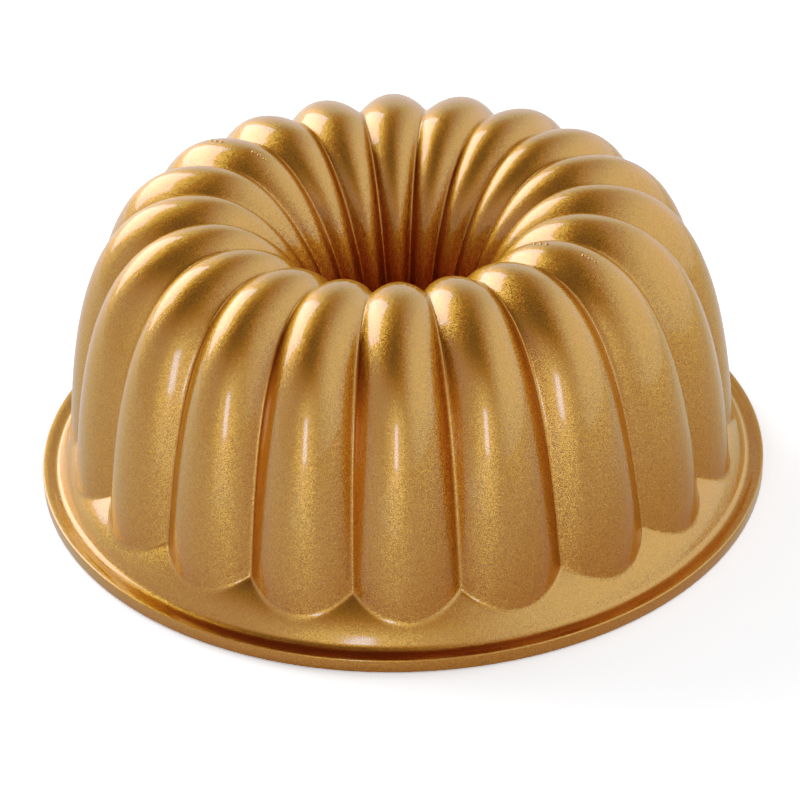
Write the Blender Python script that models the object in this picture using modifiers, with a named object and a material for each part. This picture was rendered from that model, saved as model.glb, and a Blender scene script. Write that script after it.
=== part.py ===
"""Fluted tube cake pan, standing upside down on its rim.

Metres, +Z up, the pan's axis on the Z axis and the rim face on z = 0. The pan is one aluminium casting with a
metallic coat outside and a non-stick lining inside. Each of the three is a wall that Solidify makes at its own
depth under one open sheet, the pan's outer skin.
"""

import math

import bmesh
import bpy
from mathutils import Vector

MM = 0.001

# Rim: a vertical band, a nearly flat land that dips inwards, then a convex skirt that rises to the flutes.
RIM_RADIUS = 132.0 * MM
BAND_HEIGHT = 5.4 * MM
LAND_INNER_EDGE = (125.5 * MM, 4.8 * MM)
SKIRT_RADIUS = 29.0 * MM
SKIRT_CENTRE = (98.36 * MM, -5.56 * MM)
SKIRT_OUTER_RADIUS = 124.8 * MM

# Flutes: each one is a ridge between two valleys.
FLUTES = 20
FLUTE_ARC_HALF_ANGLE = math.radians(52.0)
COLUMNS_PER_FLUTE = 4

# One radial section each for the valley and the ridge: a foot on the skirt, the crown's highest point and the
# lower end of the tube, joined by two curves. A handle is a curve's reach from its end; a lean is radius lost
# for each unit of height.
TUBE_END_HEIGHT = 8.0 * MM
VALLEY = {
    "foot_radius": 113.4 * MM,
    "wall_handle": 36.0 * MM,
    "wall_lean": 0.18,
    "crown_radius": 67.1 * MM,
    "crown_height": 102.4 * MM,
    "outer_crown_handle": 31.4 * MM,
    "inner_crown_handle": 25.6 * MM,
    "tube_radius": 22.6 * MM,
    "tube_handle": 43.8 * MM,
    "tube_lean": 0.09,
}
RIDGE = {
    "foot_radius": 121.3 * MM,
    "wall_handle": 82.1 * MM,
    "wall_lean": 0.077,
    "crown_radius": 68.8 * MM,
    "crown_height": 106.9 * MM,
    "outer_crown_handle": 24.4 * MM,
    "inner_crown_handle": 35.4 * MM,
    "tube_radius": 20.6 * MM,
    "tube_handle": 42.1 * MM,
    "tube_lean": 0.06,
}
SKIRT_STEPS = 2
WALL_STEPS = 5
TUBE_STEPS = 4

# The three layers, counted inwards from the outer skin.
COAT_THICKNESS = 0.4 * MM
CASTING_THICKNESS = 2.2 * MM
LAYER_GAP = 0.3 * MM
CASTING_DEPTH = COAT_THICKNESS + LAYER_GAP
LINING_DEPTH = CASTING_DEPTH + CASTING_THICKNESS + LAYER_GAP
COAT_CLEARANCE = 0.3 * MM
MERGE_DISTANCE = 0.00001


def clear_scene():
    for old in list(bpy.data.objects):
        bpy.data.objects.remove(old, do_unlink=True)


def make_collection(name):
    collection = bpy.data.collections.new(name)
    bpy.context.scene.collection.children.link(collection)
    return collection


def make_material(name, colour, metallic, roughness):
    material = bpy.data.materials.new(name)
    material.use_nodes = True
    shader = material.node_tree.nodes["Principled BSDF"]
    shader.inputs["Base Color"].default_value = (*colour, 1.0)
    shader.inputs["Metallic"].default_value = metallic
    shader.inputs["Roughness"].default_value = roughness
    return material


def blend(low, high, share):
    return low + (high - low) * share


def curve_points(start, start_handle, end_handle, end, steps):
    """Points along a cubic curve, without its first."""
    points = []
    for step in range(1, steps + 1):
        t = step / steps
        point = (1 - t) ** 3 * start + 3 * (1 - t) ** 2 * t * start_handle
        point += 3 * (1 - t) * t**2 * end_handle + t**3 * end
        points.append(point)
    return points


def skirt_height(radius):
    """Height of the skirt: a convex arc that flattens towards the flutes."""
    return SKIRT_CENTRE[1] + math.sqrt(SKIRT_RADIUS**2 - (radius - SKIRT_CENTRE[0]) ** 2)


def rim_points(bottom):
    """The round part of the section as (radius, height), from the band's lower edge to the skirt."""
    skirt_start = (SKIRT_OUTER_RADIUS, skirt_height(SKIRT_OUTER_RADIUS))
    band = [(RIM_RADIUS, bottom), (RIM_RADIUS, BAND_HEIGHT)]
    return [Vector(point) for point in band + [LAND_INNER_EDGE, skirt_start]]


def fluted_points(share):
    """The rest of the section at a column that lies this share of the way from valley (0) to ridge (1)."""
    size = {name: blend(VALLEY[name], RIDGE[name], share) for name in VALLEY}
    foot = Vector((size["foot_radius"], skirt_height(size["foot_radius"])))
    crown = Vector((size["crown_radius"], size["crown_height"]))
    tube_end = Vector((size["tube_radius"], TUBE_END_HEIGHT))
    points = []
    for step in range(1, SKIRT_STEPS + 1):
        radius = blend(SKIRT_OUTER_RADIUS, foot.x, step / SKIRT_STEPS)
        points.append(Vector((radius, skirt_height(radius))))
    wall_handle = foot + size["wall_handle"] * Vector((-size["wall_lean"], 1.0))
    outer_handle = crown + Vector((size["outer_crown_handle"], 0.0))
    inner_handle = crown - Vector((size["inner_crown_handle"], 0.0))
    tube_handle = tube_end + size["tube_handle"] * Vector((-size["tube_lean"], 1.0))
    points += curve_points(foot, wall_handle, outer_handle, crown, WALL_STEPS)
    points += curve_points(crown, inner_handle, tube_handle, tube_end, TUBE_STEPS)
    return points


def flute_columns():
    """(angle from the flute's ridge, share of the way from valley to ridge) across one circular flute."""
    pitch = 2 * math.pi / FLUTES
    columns = []
    for column in range(COLUMNS_PER_FLUTE + 1):
        turn = blend(-FLUTE_ARC_HALF_ANGLE, FLUTE_ARC_HALF_ANGLE, column / COLUMNS_PER_FLUTE)
        across = math.sin(turn) / math.sin(FLUTE_ARC_HALF_ANGLE)
        rise = math.cos(turn) - math.cos(FLUTE_ARC_HALF_ANGLE)
        share = rise / (1 - math.cos(FLUTE_ARC_HALF_ANGLE))
        columns.append((across * pitch / 2, share))
    return columns


def skin_mesh(name, bottom):
    """The outer skin as an open sheet: one flute lofted from valley to valley, then spun round the axis."""
    bm = bmesh.new()
    grid = []
    for angle, share in flute_columns():
        around = Vector((math.sin(angle), -math.cos(angle), 0.0))
        section = rim_points(bottom) + fluted_points(share)
        grid.append([bm.verts.new(around * p.x + Vector((0.0, 0.0, p.y))) for p in section])
    for left, right in zip(grid, grid[1:]):
        for row in range(len(left) - 1):
            bm.faces.new((left[row], right[row], right[row + 1], left[row + 1]))
    bmesh.ops.spin(
        bm,
        geom=bm.verts[:] + bm.edges[:] + bm.faces[:],
        axis=(0.0, 0.0, 1.0),
        angle=2 * math.pi * (FLUTES - 1) / FLUTES,
        steps=FLUTES - 1,
        use_duplicate=True,
    )
    bmesh.ops.remove_doubles(bm, verts=bm.verts[:], dist=MERGE_DISTANCE)
    mesh = bpy.data.meshes.new(name)
    bm.to_mesh(mesh)
    bm.free()
    mesh.shade_smooth()
    return mesh


def add_layer(name, collection, material, bottom, depth, thickness):
    """A closed wall of this thickness, this far under the outer skin."""
    layer = bpy.data.objects.new(name, skin_mesh(name, bottom))
    collection.objects.link(layer)
    layer.data.materials.append(material)
    wall = layer.modifiers.new("Wall", "SOLIDIFY")
    wall.thickness = thickness
    # At -1 the wall hangs right under the sheet, and each further 2 lowers it by its own thickness.
    wall.offset = -1.0 - 2.0 * depth / thickness
    wall.use_even_offset = True
    return layer


def main():
    clear_scene()
    pan = make_collection("fluted_tube_cake_pan")
    aluminium = make_material("cast_aluminium", (0.62, 0.62, 0.63), 1.0, 0.45)
    gold_coat = make_material("gold_metallic_coat", (0.69, 0.44, 0.17), 0.9, 0.32)
    lining = make_material("gold_nonstick_lining", (0.52, 0.36, 0.17), 0.6, 0.42)
    add_layer("pan_casting", pan, aluminium, 0.0, CASTING_DEPTH, CASTING_THICKNESS)
    add_layer("outer_coating", pan, gold_coat, COAT_CLEARANCE, 0.0, COAT_THICKNESS)
    add_layer("nonstick_lining", pan, lining, COAT_CLEARANCE, LINING_DEPTH, COAT_THICKNESS)


main()
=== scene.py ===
"""Looks for the fluted tube cake pan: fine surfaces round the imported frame, studio light and a camera.

Metres, +Z up, the pan's axis on the Z axis and the rim face on z = 0, as in the frame.
"""

import math

import bmesh
import bpy
import numpy as np
from mathutils import Matrix, Vector


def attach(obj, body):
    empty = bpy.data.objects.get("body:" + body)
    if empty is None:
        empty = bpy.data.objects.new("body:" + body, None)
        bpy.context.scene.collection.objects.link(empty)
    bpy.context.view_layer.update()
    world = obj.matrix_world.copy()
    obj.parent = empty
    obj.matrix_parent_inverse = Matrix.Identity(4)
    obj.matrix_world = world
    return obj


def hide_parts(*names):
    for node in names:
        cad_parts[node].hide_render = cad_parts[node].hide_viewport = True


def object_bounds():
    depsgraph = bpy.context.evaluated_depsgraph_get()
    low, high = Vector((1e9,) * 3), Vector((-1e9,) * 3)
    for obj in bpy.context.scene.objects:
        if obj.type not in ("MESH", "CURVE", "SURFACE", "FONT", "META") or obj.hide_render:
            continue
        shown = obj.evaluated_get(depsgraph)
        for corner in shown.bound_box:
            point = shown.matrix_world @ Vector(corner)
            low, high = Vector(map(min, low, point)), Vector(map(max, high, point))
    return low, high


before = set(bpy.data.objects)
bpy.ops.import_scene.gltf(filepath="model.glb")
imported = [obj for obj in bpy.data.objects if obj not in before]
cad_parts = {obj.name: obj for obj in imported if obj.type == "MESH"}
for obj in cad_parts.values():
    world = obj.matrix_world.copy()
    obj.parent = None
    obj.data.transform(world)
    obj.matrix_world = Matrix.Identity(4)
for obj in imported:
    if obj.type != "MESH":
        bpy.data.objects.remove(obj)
CAD_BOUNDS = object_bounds()

MM = 0.001

# The rim radius and the crown's height come from the frame. The other sizes repeat those of its section.
RIM_RADIUS = CAD_BOUNDS[1].x
CROWN_HEIGHT = CAD_BOUNDS[1].z
BAND_HEIGHT = 5.4 * MM
CHANNEL_HEIGHT = 4.8 * MM
LAND_INNER_EDGE_RADIUS = 125.5 * MM
SKIRT_RADIUS = 29.0 * MM
SKIRT_CENTRE = (98.36 * MM, -5.56 * MM)
SKIRT_OUTER_RADIUS = 124.8 * MM

# Flutes: each one is a ridge between two valleys. A handle is a curve's reach from its end; a lean is radius
# lost for each unit of height.
FLUTES = 20
FLUTE_ARC_HALF_ANGLE = math.radians(52.0)
TUBE_END_HEIGHT = 8.0 * MM
VALLEY = {
    "foot_radius": 113.4 * MM,
    "wall_handle": 36.0 * MM,
    "wall_lean": 0.18,
    "crown_radius": 67.1 * MM,
    "crown_height": 102.4 * MM,
    "outer_crown_handle": 31.4 * MM,
    "inner_crown_handle": 25.6 * MM,
    "tube_radius": 22.6 * MM,
    "tube_handle": 43.8 * MM,
    "tube_lean": 0.09,
}
RIDGE = {
    "foot_radius": 121.3 * MM,
    "wall_handle": 82.1 * MM,
    "wall_lean": 0.077,
    "crown_radius": 68.8 * MM,
    "crown_height": CROWN_HEIGHT,
    "outer_crown_handle": 24.4 * MM,
    "inner_crown_handle": 35.4 * MM,
    "tube_radius": 20.6 * MM,
    "tube_handle": 42.1 * MM,
    "tube_lean": 0.06,
}

# Small shapes that only the fine surface has.
EDGE_RADIUS = 0.5 * MM
COAT_TURN_UNDER = 1.3 * EDGE_RADIUS
LAND_END_RADIUS = 130.4 * MM
CHANNEL_RADIUS = 127.0 * MM
VALLEY_ROUNDING = 0.6 * MM
FOOT_ROUNDING = 1.2 * MM

# How finely the surface is divided. A crowding above 1 draws columns to the valleys and rows to the feet.
COLUMNS_PER_HALF_FLUTE = 11
COLUMN_CROWDING = 1.7
LOWER_EDGE_ROWS = 4
UPPER_EDGE_ROWS = 5
CHANNEL_CURVE_ROWS = 6
CHANNEL_CORNER_ROWS = 5
SKIRT_ROWS = 8
FOOT_CORNER_ROWS = 4
WALL_ROWS = 36
WALL_CROWDING = 1.15
TUBE_ROWS = 30

# The layers, each a wall at its own depth under the outer skin. Both coats stop just above the rim face.
COAT_THICKNESS = 0.25 * MM
CASTING_DEPTH = 0.7 * MM
CASTING_THICKNESS = 2.2 * MM
LINING_DEPTH = 3.2 * MM
LINING_THICKNESS = 0.4 * MM
COAT_CLEARANCE = 0.3 * MM

# Two short rows of raised pips stand where the photographed pan carries small lettering. The profile runs
# from a pip's top to its underside, in shares of its radius and its rise. The crest rows are the stretch of
# a flute's crest on which pips can stand.
PIP_ROWS_AZIMUTH = (math.radians(-126.0), math.radians(54.0))
PIP_DISTANCES = (57.5 * MM, 60.0 * MM, 62.5 * MM, 77.0 * MM, 79.5 * MM, 82.0 * MM)
PIP_RADIUS = 0.85 * MM
PIP_RISE = 0.40 * MM
PIP_SIDES = 16
PIP_PROFILE = (
    (0.0, 1.0),
    (0.25, 0.93),
    (0.5, 0.72),
    (0.72, 0.42),
    (0.88, 0.12),
    (1.0, -0.25),
    (0.6, -0.5),
    (0.0, -0.6),
)
CREST_ROWS_OUTSIDE_TOP = 25
CREST_ROWS_INSIDE_TOP = 15

# The camera looks at the rim's centre from the front, and three small turns then frame the pan.
CAMERA_ELEVATION = math.radians(33.70)
CAMERA_DISTANCE = 7.449 * RIM_RADIUS
CAMERA_LENS_MM = 119.7
CAMERA_SENSOR_MM = 36.0
CAMERA_CLIP = (0.01, 50.0)
CAMERA_TILT_UP = math.radians(1.082)
CAMERA_TURN_LEFT = math.radians(0.027)
CAMERA_ROLL = math.radians(1.61)

FLOOR_HALF_SIZE = 3.0
FLOOR_COLOUR = (0.78, 0.78, 0.78, 1.0)
FLOOR_COLOUR_TO_CAMERA = (1.55, 1.57, 1.59, 1.0)

# The room as light: its own level, and then a start and an end along an axis and an amount for each of the
# ceiling, the back and the right. The first two amounts are added, and the right rises to its own.
WHITE = (1.0, 1.0, 1.0, 1.0)
WHITE_STRENGTH_TO_CAMERA = 2.5
ROOM_LEVEL = 1.35
CEILING = (0.30, 0.80, -1.10)
BACK_WALL = (0.80, 1.0, 0.6)
RIGHT_WALL = (-0.15, 0.70, 2.6)

# The softboxes face this height on the axis. The streak light lies on the floor, in front and to the left.
SOFTBOX_TARGET_HEIGHT = 0.06
STREAK_START = (-0.09, -0.23)
STREAK_END = (-0.42, -1.15)
STREAK_HEIGHT = 0.002
STREAK_SIZE = (0.14, 0.95)
STREAK_RADIANCE = 0.62

# The tone curve, in straight stretches: a toe deepens the dark golds, and a shoulder rolls off to white.
# Blender keeps the curve of all three channels together behind those of red, green and blue.
TONE_CURVE = ((0.027, 0.0155), (0.083, 0.083), (0.333, 0.333), (0.841, 0.597))
TONE_WHITE = 1.9
COMBINED_CURVE = 3


def across_positions():
    """Positions across a flute from valley (-1) over the ridge (0) to valley (1)."""
    side = 1.0 - np.linspace(0.0, 1.0, COLUMNS_PER_HALF_FLUTE + 1) ** COLUMN_CROWDING
    return np.concatenate([-side, side[::-1][1:]])


def share_at(across, rounding):
    """Share of the way from valley to ridge on a circular flute whose valley line is rounded."""
    from_valley = np.sqrt((1.0 - np.abs(across)) ** 2 + rounding**2)
    sine = (1.0 - from_valley) * math.sin(FLUTE_ARC_HALF_ANGLE)
    bottom = math.cos(FLUTE_ARC_HALF_ANGLE)
    return (np.sqrt(1.0 - sine**2) - bottom) / (1.0 - bottom)


def skirt_height(radius):
    """Height of the skirt: a convex arc that flattens towards the flutes."""
    return SKIRT_CENTRE[1] + np.sqrt(SKIRT_RADIUS**2 - (radius - SKIRT_CENTRE[0]) ** 2)


def pair(radius, height):
    return np.stack(np.broadcast_arrays(radius, height), axis=-1).astype(float)


def cubic(start, start_handle, end_handle, end, t):
    """Points along cubic curves between (columns, 2) points; t is one list for all columns or one each."""
    t = np.atleast_2d(t)[..., None]
    a, b, c, d = (p[:, None, :] for p in (start, start_handle, end_handle, end))
    return (1 - t) ** 3 * a + 3 * (1 - t) ** 2 * t * b + 3 * (1 - t) * t**2 * c + t**3 * d


def rounded_corner(before, corner, after, rows):
    """Points that round a corner between (columns, 2) points, without the two where the rounding ends."""
    t = np.linspace(0.0, 1.0, rows + 2)[None, 1:-1, None]
    a, b, c = (p[:, None, :] for p in (before, corner, after))
    return (1 - t) ** 2 * a + 2 * (1 - t) * t * b + t**2 * c


def arc(centre, radius, start_degrees, end_degrees, steps):
    turn = np.radians(np.linspace(start_degrees, end_degrees, steps))
    return [(centre[0] + radius * math.cos(a), centre[1] + radius * math.sin(a)) for a in turn]


def rim_points():
    """The round part of the outer skin's section, from the band's lower edge to the skirt."""
    edge_centre = RIM_RADIUS - EDGE_RADIUS
    band = [(RIM_RADIUS - COAT_TURN_UNDER, COAT_CLEARANCE)]
    band += arc((edge_centre, COAT_CLEARANCE + EDGE_RADIUS), EDGE_RADIUS, -90, 0, LOWER_EDGE_ROWS)
    band += arc((edge_centre, BAND_HEIGHT - EDGE_RADIUS), EDGE_RADIUS, 0, 90, UPPER_EDGE_ROWS)
    middle = (LAND_END_RADIUS + CHANNEL_RADIUS) / 2
    land_end = pair([LAND_END_RADIUS], BAND_HEIGHT)
    land_handle = pair([middle], BAND_HEIGHT)
    channel_handle = pair([middle], CHANNEL_HEIGHT)
    channel = pair([CHANNEL_RADIUS], CHANNEL_HEIGHT)
    slope = cubic(land_end, land_handle, channel_handle, channel, np.linspace(0.0, 1.0, CHANNEL_CURVE_ROWS))
    corner = pair([LAND_INNER_EDGE_RADIUS], CHANNEL_HEIGHT)
    skirt_start = pair([SKIRT_OUTER_RADIUS], skirt_height(SKIRT_OUTER_RADIUS))
    turn_up = rounded_corner(channel, corner, skirt_start, CHANNEL_CORNER_ROWS)
    return np.concatenate([band, slope[0], turn_up[0]])


def skirt_points(foot_radius):
    """(columns, rows, 2) points of the skirt, from the rim to where the foot's rounding starts."""
    skirt_end = foot_radius + FOOT_ROUNDING
    steps = np.linspace(0.0, 1.0, SKIRT_ROWS)
    radius = SKIRT_OUTER_RADIUS + (skirt_end - SKIRT_OUTER_RADIUS)[:, None] * steps
    return pair(radius, skirt_height(radius))


def skin_sections(share):
    """(columns, rows, 2) radius and height of the outer skin's section at each column's share."""
    size = {name: VALLEY[name] + (RIDGE[name] - VALLEY[name]) * share for name in VALLEY}
    foot = pair(size["foot_radius"], skirt_height(size["foot_radius"]))
    crown = pair(size["crown_radius"], size["crown_height"])
    tube_end = pair(size["tube_radius"], TUBE_END_HEIGHT)
    wall_handle = foot + size["wall_handle"][:, None] * pair(-size["wall_lean"], 1.0)
    outer_handle = crown + pair(size["outer_crown_handle"], 0.0)
    inner_handle = crown - pair(size["inner_crown_handle"], 0.0)
    tube_handle = tube_end + size["tube_handle"][:, None] * pair(-size["tube_lean"], 1.0)

    rim = rim_points()
    skirt = skirt_points(size["foot_radius"])
    speed_at_foot = 3.0 * size["wall_handle"] * np.sqrt(1.0 + size["wall_lean"] ** 2)
    wall_start = (FOOT_ROUNDING / speed_at_foot)[:, None]
    steps = np.linspace(0.0, 1.0, WALL_ROWS) ** WALL_CROWDING
    wall = cubic(foot, wall_handle, outer_handle, crown, wall_start + (1.0 - wall_start) * steps)
    tube_steps = np.linspace(0.0, 1.0, TUBE_ROWS + 1)[1:]
    rows = [
        np.broadcast_to(rim, (len(share), *rim.shape)),
        skirt,
        rounded_corner(skirt[:, -1], foot, wall[:, 0], FOOT_CORNER_ROWS),
        wall,
        cubic(crown, inner_handle, tube_handle, tube_end, tube_steps),
    ]
    return np.concatenate(rows, axis=1)


def spun(sections, across):
    """(columns round the pan, rows, 3) points from one flute's sections at these positions across it."""
    pitch = 2.0 * math.pi / FLUTES
    angle = (np.arange(FLUTES)[:, None] + across[None, :] / 2.0).reshape(-1) * pitch
    section = np.tile(sections, (FLUTES, 1, 1))
    radius, height = section[..., 0], section[..., 1]
    sine, cosine = np.sin(angle)[:, None], np.cos(angle)[:, None]
    return np.stack([radius * sine, -radius * cosine, height], axis=-1)


def outer_skin():
    """(columns round the pan, rows, 3) points of the outer skin."""
    across = across_positions()[:-1]
    sharp = skin_sections(share_at(across, 0.0))
    half_pitch = math.pi / FLUTES * sharp[..., 0]
    rounding = VALLEY_ROUNDING / half_pitch
    share = share_at(across[:, None], rounding)
    rows = sharp.shape[1]
    rounded = np.stack([skin_sections(share[:, row])[:, row] for row in range(rows)], axis=1)
    return spun(rounded, across)


def smooth_object(name, mesh):
    mesh.shade_smooth()
    made = bpy.data.objects.new(name, mesh)
    bpy.context.scene.collection.objects.link(made)
    return made


def sheet_object(name, grid):
    """A smooth open sheet, closed round the pan, from a (columns, rows, 3) grid."""
    columns, rows = grid.shape[:2]
    index = np.arange(columns * rows).reshape(columns, rows)
    right = np.roll(index, -1, axis=0)
    faces = np.stack([index[:, :-1], right[:, :-1], right[:, 1:], index[:, 1:]], axis=-1)
    mesh = bpy.data.meshes.new(name)
    mesh.from_pydata(grid.reshape(-1, 3).tolist(), [], faces.reshape(-1, 4).tolist())
    return smooth_object(name, mesh)


def inner_sheet_grid(skin, bottom):
    """A lighter outer skin with a plain square rim, to hang the casting and the lining under."""
    rim = [(RIM_RADIUS, bottom), (RIM_RADIUS, BAND_HEIGHT), (LAND_INNER_EDGE_RADIUS, CHANNEL_HEIGHT)]
    # Every second row, counted so that the last one, the tube's end, is among them.
    columns = skin[::2, len(rim_points()) + 1 :: 2]
    level = np.hypot(columns[:, :1, 0], columns[:, :1, 1])
    around = np.concatenate([columns[:, :1, :2] / level[..., None], np.zeros((len(columns), 1, 1))], axis=2)
    rows = [around * radius + np.array([0.0, 0.0, height]) for radius, height in rim]
    return np.concatenate([*rows, columns], axis=1)


def crest_line(skin, flute):
    """Radii and heights along a flute's crest near its top, from the inside outwards."""
    columns = skin.shape[0] // FLUTES
    crest = skin[flute * columns + COLUMNS_PER_HALF_FLUTE]
    top = int(np.argmax(crest[:, 2]))
    near_top = slice(top - CREST_ROWS_OUTSIDE_TOP, top + CREST_ROWS_INSIDE_TOP)
    radii = np.hypot(crest[:, 0], crest[:, 1])
    return radii[near_top][::-1], crest[near_top, 2][::-1]


def pip_seat(crest, turn, distance):
    """Where a pip sits on a crest turned this far round, and the pip's side, along and up directions."""
    inner, middle, outer = (float(np.interp(distance + way * PIP_RADIUS, *crest)) for way in (-1, 0, 1))
    lean = math.atan2(outer - inner, 2 * PIP_RADIUS)
    outward = Vector((math.sin(turn), -math.cos(turn), 0.0))
    side = Vector((math.cos(turn), math.sin(turn), 0.0))
    along = outward * math.cos(lean) + Vector((0.0, 0.0, math.sin(lean)))
    return outward * distance + Vector((0.0, 0.0, middle)), side, along, along.cross(side)


def pip_dome(seat, side, along, up):
    """Vertices and faces of a pip: a point at its top, rings down to its underside and a point there."""
    verts = []
    for reach, rise in PIP_PROFILE:
        for step in range(PIP_SIDES if reach > 0 else 1):
            angle = 2 * math.pi * step / PIP_SIDES
            spoke = (side * math.cos(angle) + along * math.sin(angle)) * reach * PIP_RADIUS
            verts.append(seat + spoke + up * (rise * PIP_RISE))
    underside = len(verts) - 1
    last_ring = underside - PIP_SIDES
    faces = []
    for step in range(PIP_SIDES):
        after = (step + 1) % PIP_SIDES
        faces.append((0, 1 + step, 1 + after))
        for ring in range(1, last_ring, PIP_SIDES):
            below = ring + PIP_SIDES
            faces.append((ring + step, below + step, below + after, ring + after))
        faces.append((last_ring + step, underside, last_ring + after))
    return verts, faces


def face_outwards(mesh):
    bm = bmesh.new()
    bm.from_mesh(mesh)
    bmesh.ops.recalc_face_normals(bm, faces=bm.faces)
    bm.to_mesh(mesh)
    bm.free()


def pips_object(name, skin):
    """Small domes in a row along the crest of two flutes, each a closed body seated in the skin."""
    verts, faces = [], []
    for azimuth in PIP_ROWS_AZIMUTH:
        flute = round(azimuth / (2 * math.pi / FLUTES)) % FLUTES
        crest = crest_line(skin, flute)
        for distance in PIP_DISTANCES:
            seat = pip_seat(crest, flute * 2 * math.pi / FLUTES, distance)
            dome_verts, dome_faces = pip_dome(*seat)
            faces += [[len(verts) + index for index in face] for face in dome_faces]
            verts += dome_verts
    mesh = bpy.data.meshes.new(name)
    mesh.from_pydata(verts, [], faces)
    face_outwards(mesh)
    return smooth_object(name, mesh)


def new_material(name, metallic, roughness):
    material = bpy.data.materials.new(name)
    material.use_nodes = True
    shader = material.node_tree.nodes["Principled BSDF"]
    shader.inputs["Metallic"].default_value = metallic
    shader.inputs["Roughness"].default_value = roughness
    return material, material.node_tree.nodes, material.node_tree.links, shader


def add_ramp(nodes, links, source, stops):
    """A colour ramp driven by a node output; stops are (position, colour)."""
    ramp = nodes.new("ShaderNodeValToRGB")
    for index, (position, colour) in enumerate(stops):
        # A new ramp already has two stops.
        stop = ramp.color_ramp.elements[index] if index < 2 else ramp.color_ramp.elements.new(position)
        stop.position = position
        stop.color = (*colour, 1.0)
    links.new(source, ramp.inputs["Fac"])
    return ramp.outputs["Color"]


def vector_math(nodes, operation):
    node = nodes.new("ShaderNodeVectorMath")
    node.operation = operation
    return node


def gold_material():
    """Metallic flakes, each with its own shade and tilt, under a clear, glossy top layer."""
    flake_scale = 5200.0
    flake_tilt = 0.28
    flake_colours = [(0.0, (0.22, 0.084, 0.012)), (1.0, (0.46, 0.186, 0.030)), (0.5, (0.33, 0.128, 0.019))]
    material, nodes, links, shader = new_material("gold_metallic_coat", metallic=1.0, roughness=0.36)
    shader.inputs["Specular Tint"].default_value = (1.0, 0.80, 0.50, 1.0)
    shader.inputs["Coat Weight"].default_value = 0.62
    shader.inputs["Coat Roughness"].default_value = 0.12
    coordinates = nodes.new("ShaderNodeTexCoord")
    flakes = nodes.new("ShaderNodeTexVoronoi")
    flakes.inputs["Scale"].default_value = flake_scale
    links.new(coordinates.outputs["Object"], flakes.inputs["Vector"])
    split = nodes.new("ShaderNodeSeparateXYZ")
    links.new(flakes.outputs["Color"], split.inputs[0])
    links.new(add_ramp(nodes, links, split.outputs["Z"], flake_colours), shader.inputs["Base Color"])

    # A flake's random colour, 0 to 1 in each channel, becomes a push of half the tilt either way.
    tilt = vector_math(nodes, "MULTIPLY_ADD")
    tilt.inputs[1].default_value = (flake_tilt,) * 3
    tilt.inputs[2].default_value = (-flake_tilt / 2,) * 3
    links.new(flakes.outputs["Color"], tilt.inputs[0])
    geometry = nodes.new("ShaderNodeNewGeometry")
    pushed = vector_math(nodes, "ADD")
    links.new(geometry.outputs["Normal"], pushed.inputs[0])
    links.new(tilt.outputs[0], pushed.inputs[1])
    unit = vector_math(nodes, "NORMALIZE")
    links.new(pushed.outputs[0], unit.inputs[0])
    links.new(unit.outputs[0], shader.inputs["Normal"])
    return material


def noisy_metal(name, metallic, roughness, scale, stops, bump_height):
    """A mottled metal or coat: noise varies its colour and roughness and raises a slight texture."""
    noise_detail = 5.0
    roughness_spread = 0.12
    bump_strength = 0.5
    material, nodes, links, shader = new_material(name, metallic, roughness)
    coordinates = nodes.new("ShaderNodeTexCoord")
    noise = nodes.new("ShaderNodeTexNoise")
    noise.inputs["Scale"].default_value = scale
    noise.inputs["Detail"].default_value = noise_detail
    links.new(coordinates.outputs["Object"], noise.inputs["Vector"])
    links.new(add_ramp(nodes, links, noise.outputs["Fac"], stops), shader.inputs["Base Color"])
    spread = nodes.new("ShaderNodeMapRange")
    spread.inputs["To Min"].default_value = roughness - roughness_spread
    spread.inputs["To Max"].default_value = roughness + roughness_spread
    links.new(noise.outputs["Fac"], spread.inputs["Value"])
    links.new(spread.outputs["Result"], shader.inputs["Roughness"])
    raised = nodes.new("ShaderNodeBump")
    raised.inputs["Strength"].default_value = bump_strength
    raised.inputs["Distance"].default_value = bump_height
    links.new(noise.outputs["Fac"], raised.inputs["Height"])
    links.new(raised.outputs["Normal"], shader.inputs["Normal"])
    return material


def lining_material():
    stops = [(0.3, (0.33, 0.17, 0.045)), (0.7, (0.42, 0.22, 0.06))]
    return noisy_metal(
        "gold_nonstick_lining",
        metallic=0.55,
        roughness=0.42,
        scale=260.0,
        stops=stops,
        bump_height=0.05 * MM,
    )


def aluminium_material():
    stops = [(0.3, (0.50, 0.50, 0.51)), (0.7, (0.66, 0.66, 0.67))]
    return noisy_metal(
        "cast_aluminium",
        metallic=1.0,
        roughness=0.45,
        scale=700.0,
        stops=stops,
        bump_height=0.1 * MM,
    )


def add_camera():
    cam_data = bpy.data.cameras.new("camera")
    cam_data.sensor_width = CAMERA_SENSOR_MM
    cam_data.lens = CAMERA_LENS_MM
    cam_data.clip_start, cam_data.clip_end = CAMERA_CLIP
    camera = bpy.data.objects.new("camera", cam_data)
    bpy.context.scene.collection.objects.link(camera)
    back = Vector((0.0, -math.cos(CAMERA_ELEVATION), math.sin(CAMERA_ELEVATION)))
    level = Matrix.Rotation(math.pi / 2 - CAMERA_ELEVATION, 4, "X")
    turn = Matrix.Rotation(CAMERA_TURN_LEFT, 4, "Y") @ Matrix.Rotation(CAMERA_TILT_UP, 4, "X")
    camera.matrix_world = (
        Matrix.Translation(back * CAMERA_DISTANCE) @ level @ turn @ Matrix.Rotation(-CAMERA_ROLL, 4, "Z")
    )
    bpy.context.scene.camera = camera


def camera_mix(nodes, links, to_others, to_camera):
    """A shader output that is one shader to the camera and another to every other ray."""
    path = nodes.new("ShaderNodeLightPath")
    mix = nodes.new("ShaderNodeMixShader")
    links.new(path.outputs["Is Camera Ray"], mix.inputs[0])
    links.new(to_others, mix.inputs[1])
    links.new(to_camera, mix.inputs[2])
    return mix.outputs[0]


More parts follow.
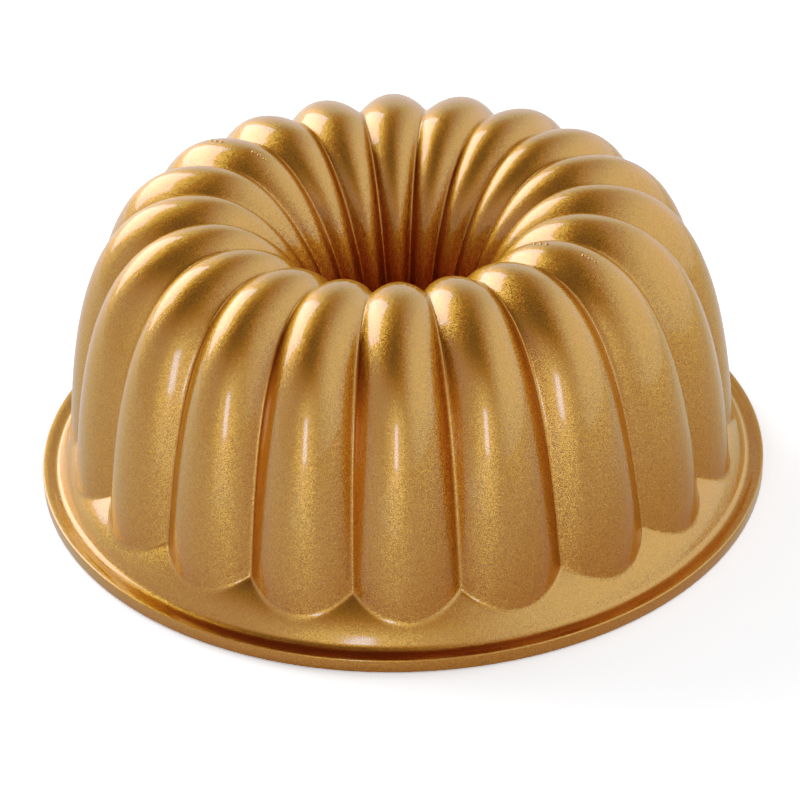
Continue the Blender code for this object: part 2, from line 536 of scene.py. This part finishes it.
def add_floor():
    """A pale floor under the pan, which the camera sees as white."""
    mesh = bpy.data.meshes.new("floor")
    half = FLOOR_HALF_SIZE
    corners = [(-half, -half, 0), (half, -half, 0), (half, half, 0), (-half, half, 0)]
    mesh.from_pydata(corners, [], [(0, 1, 2, 3)])
    floor = bpy.data.objects.new("floor", mesh)
    bpy.context.scene.collection.objects.link(floor)
    material = bpy.data.materials.new("floor")
    material.use_nodes = True
    nodes, links = material.node_tree.nodes, material.node_tree.links
    nodes.remove(nodes["Principled BSDF"])
    shades = []
    for colour in (FLOOR_COLOUR, FLOOR_COLOUR_TO_CAMERA):
        diffuse = nodes.new("ShaderNodeBsdfDiffuse")
        diffuse.inputs["Color"].default_value = colour
        shades.append(diffuse.outputs[0])
    links.new(camera_mix(nodes, links, *shades), nodes["Material Output"].inputs["Surface"])
    mesh.materials.append(material)


def add_area(name, location, size, radiance):
    """A white rectangular area light; radiance is the brightness of its face."""
    data = bpy.data.lights.new(name, "AREA")
    data.shape = "RECTANGLE"
    data.size, data.size_y = size
    data.energy = radiance * math.pi * size[0] * size[1]
    light = bpy.data.objects.new(name, data)
    bpy.context.scene.collection.objects.link(light)
    light.location = location
    return light


def smooth_step(nodes, links, source, start, end, amount):
    """A node output that rises smoothly from 0 at start to amount at end."""
    step = nodes.new("ShaderNodeMapRange")
    step.interpolation_type = "SMOOTHSTEP"
    step.inputs["From Min"].default_value = start
    step.inputs["From Max"].default_value = end
    step.inputs["To Max"].default_value = amount
    links.new(source, step.inputs["Value"])
    return step.outputs["Result"]


def maths(nodes, links, operation, first, second):
    """A node output that combines an output with a number or another output."""
    node = nodes.new("ShaderNodeMath")
    node.operation = operation
    links.new(first, node.inputs[0])
    if isinstance(second, float):
        node.inputs[1].default_value = second
    else:
        links.new(second, node.inputs[1])
    return node.outputs[0]


def add_world():
    """White to the camera, and for light and reflections a pale room, brightest on the right."""
    world = bpy.data.worlds.new("studio")
    bpy.context.scene.world = world
    world.use_nodes = True
    nodes, links = world.node_tree.nodes, world.node_tree.links
    coordinates = nodes.new("ShaderNodeTexCoord")
    split = nodes.new("ShaderNodeSeparateXYZ")
    links.new(coordinates.outputs["Generated"], split.inputs[0])
    ceiling = smooth_step(nodes, links, split.outputs["Z"], *CEILING)
    back_wall = smooth_step(nodes, links, split.outputs["Y"], *BACK_WALL)
    right_wall = smooth_step(nodes, links, split.outputs["X"], *RIGHT_WALL)
    level = maths(nodes, links, "ADD", ceiling, ROOM_LEVEL)
    level = maths(nodes, links, "ADD", level, back_wall)
    level = maths(nodes, links, "MAXIMUM", level, right_wall)
    room = nodes["Background"]
    room.inputs["Color"].default_value = WHITE
    links.new(level, room.inputs["Strength"])
    white = nodes.new("ShaderNodeBackground")
    white.inputs["Color"].default_value = WHITE
    white.inputs["Strength"].default_value = WHITE_STRENGTH_TO_CAMERA
    seen = camera_mix(nodes, links, room.outputs[0], white.outputs[0])
    links.new(seen, nodes["World Output"].inputs["Surface"])


def add_softbox(name, azimuth, elevation, distance, size, radiance):
    """An area light that faces the pan. Azimuth 0 is in front of the pan and 90 on its right."""
    a, e = math.radians(azimuth), math.radians(elevation)
    target = Vector((0.0, 0.0, SOFTBOX_TARGET_HEIGHT))
    way = Vector((math.sin(a) * math.cos(e), -math.cos(a) * math.cos(e), math.sin(e)))
    location = target + way * distance
    light = add_area(name, location, size, radiance)
    light.rotation_mode = "QUATERNION"
    light.rotation_quaternion = (target - location).to_track_quat("-Z", "Y")


def add_floor_streak():
    """A long light on the floor that faces up. The flutes reflect it, and the camera doesn't see it."""
    start, end = (Vector((*point, STREAK_HEIGHT)) for point in (STREAK_START, STREAK_END))
    streak = add_area("floor_streak", (start + end) / 2, STREAK_SIZE, STREAK_RADIANCE)
    turn = math.atan2(STREAK_END[0] - STREAK_START[0], STREAK_START[1] - STREAK_END[1])
    streak.rotation_euler = (math.pi, 0.0, turn)
    streak.visible_camera = False


def set_tone():
    """Show the render through the tone curve, up to a scene brightness of TONE_WHITE."""
    settings = bpy.context.scene.view_settings
    settings.view_transform = "Standard"
    settings.use_curve_mapping = True
    mapping = settings.curve_mapping
    mapping.white_level = (TONE_WHITE,) * 3
    curve = mapping.curves[COMBINED_CURVE]
    for scene_level, shown_level in TONE_CURVE:
        curve.points.new(scene_level / TONE_WHITE, shown_level)
    for point in curve.points:
        point.handle_type = "VECTOR"
    mapping.update()


def add_wall(sheet, thickness, depth):
    """Give a sheet this thickness, this far under it."""
    wall = sheet.modifiers.new("Wall", "SOLIDIFY")
    wall.thickness = thickness
    # At -1 the wall hangs right under the sheet, and each further 2 lowers it by its own thickness.
    wall.offset = -1.0 - 2.0 * depth / thickness
    wall.use_even_offset = True


def place(piece, material):
    piece.data.materials.clear()
    piece.data.materials.append(material)
    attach(piece, "root")


gold = gold_material()
skin = outer_skin()
coat = sheet_object("outer_coating_skin", skin)
add_wall(coat, COAT_THICKNESS, 0.0)
place(coat, gold)
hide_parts("outer_coating")
pips = pips_object("outer_coating_pips", skin)
place(pips, gold)

lining = sheet_object("nonstick_lining_skin", inner_sheet_grid(skin, COAT_CLEARANCE))
add_wall(lining, LINING_THICKNESS, LINING_DEPTH)
place(lining, lining_material())
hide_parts("nonstick_lining")

casting = sheet_object("pan_casting_body", inner_sheet_grid(skin, 0.0))
add_wall(casting, CASTING_THICKNESS, CASTING_DEPTH)
place(casting, aluminium_material())
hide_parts("pan_casting")

add_camera()
add_floor()
add_world()
set_tone()
add_softbox("key_softbox", azimuth=-131.0, elevation=27.0, distance=1.6, size=(1.38, 1.06), radiance=10.6)
add_softbox("front_strip", azimuth=-14.0, elevation=8.0, distance=1.5, size=(0.19, 0.42), radiance=23.0)
add_floor_streak()
